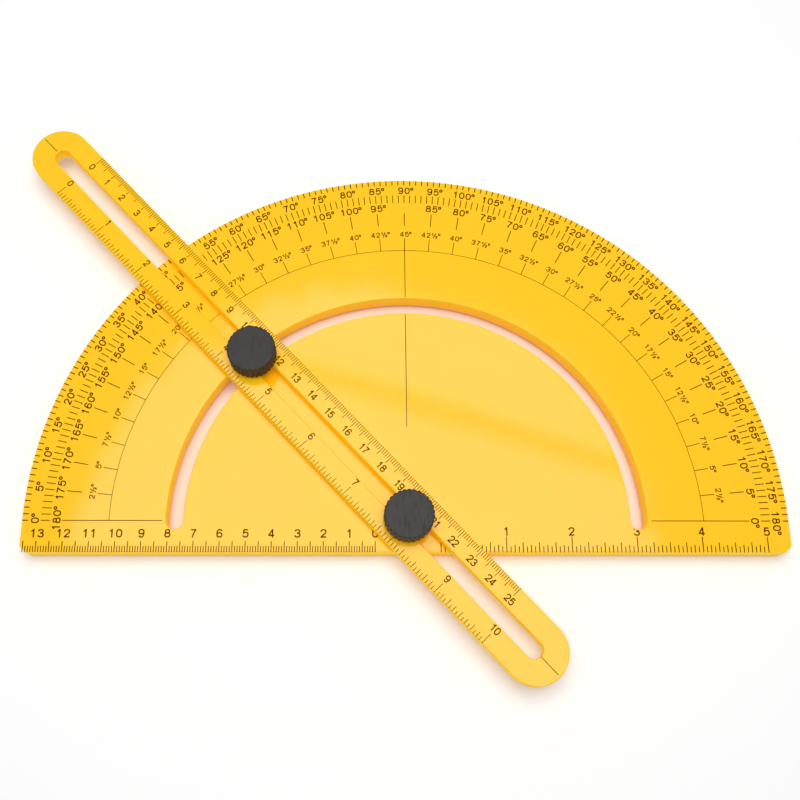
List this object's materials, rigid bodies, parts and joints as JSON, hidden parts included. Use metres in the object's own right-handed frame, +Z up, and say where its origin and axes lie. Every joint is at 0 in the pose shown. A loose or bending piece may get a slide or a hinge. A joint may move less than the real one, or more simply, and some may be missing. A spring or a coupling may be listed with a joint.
{
  "type": "semicircular protractor",
  "caption": "Semicircular protractor with a slotted ruler arm that swings about the centre, slides along itself and is clamped by fluted thumb knobs.",
  "frame": {"origin": "middle of the straight base edge's face, half-way through the plate", "axes": "+Z up out of the printed face, +X along the base from the centimetre end to the inch end, +Y from the base towards the 90 degree mark"},
  "size_m": [0.3084, 0.2315, 0.0246],
  "materials": {
    "yellow_plastic": "moulded, satin gloss, warm yellow",
    "black_plastic": "moulded, fine matt grain, near black",
    "zinc_steel": "bright zinc plate",
    "brass": "turned",
    "washer_nylon": "plain black nylon"
  },
  "bodies": {
    "plate": {"protractor_plate": "yellow_plastic"},
    "clamp_screws": {"pivot_screw": "zinc_steel", "arc_screw": "zinc_steel", "pivot_washer": "washer_nylon", "arc_washer": "washer_nylon"},
    "ruler": {"ruler_arm": "yellow_plastic"},
    "pivot_knob": {"pivot_knob": "black_plastic", "pivot_knob_insert": "brass"},
    "arc_knob": {"arc_knob": "black_plastic", "arc_knob_insert": "brass"}
  },
  "joints": [
    {"name": "arm_swing", "type": "hinge", "parent": "plate", "child": "clamp_screws", "pos_m": [0, 0.0123, 0], "axis": [0, 0, 1], "range_deg": [-133.15, 46.85]},
    {"name": "arm_slide", "type": "slide", "parent": "clamp_screws", "child": "ruler", "axis": [0.6839, -0.7296, 0], "range_m": [-0.0655, 0.121]},
    {"name": "pivot_knob_turn", "type": "hinge", "parent": "clamp_screws", "child": "pivot_knob", "pos_m": [0, 0.0123, 0], "axis": [0, 0, 1], "range_deg": [0, 720]},
    {"name": "arc_knob_turn", "type": "hinge", "parent": "clamp_screws", "child": "arc_knob", "pos_m": [-0.06176, 0.07818, 0], "axis": [0, 0, 1], "range_deg": [0, 720]}
  ]
}
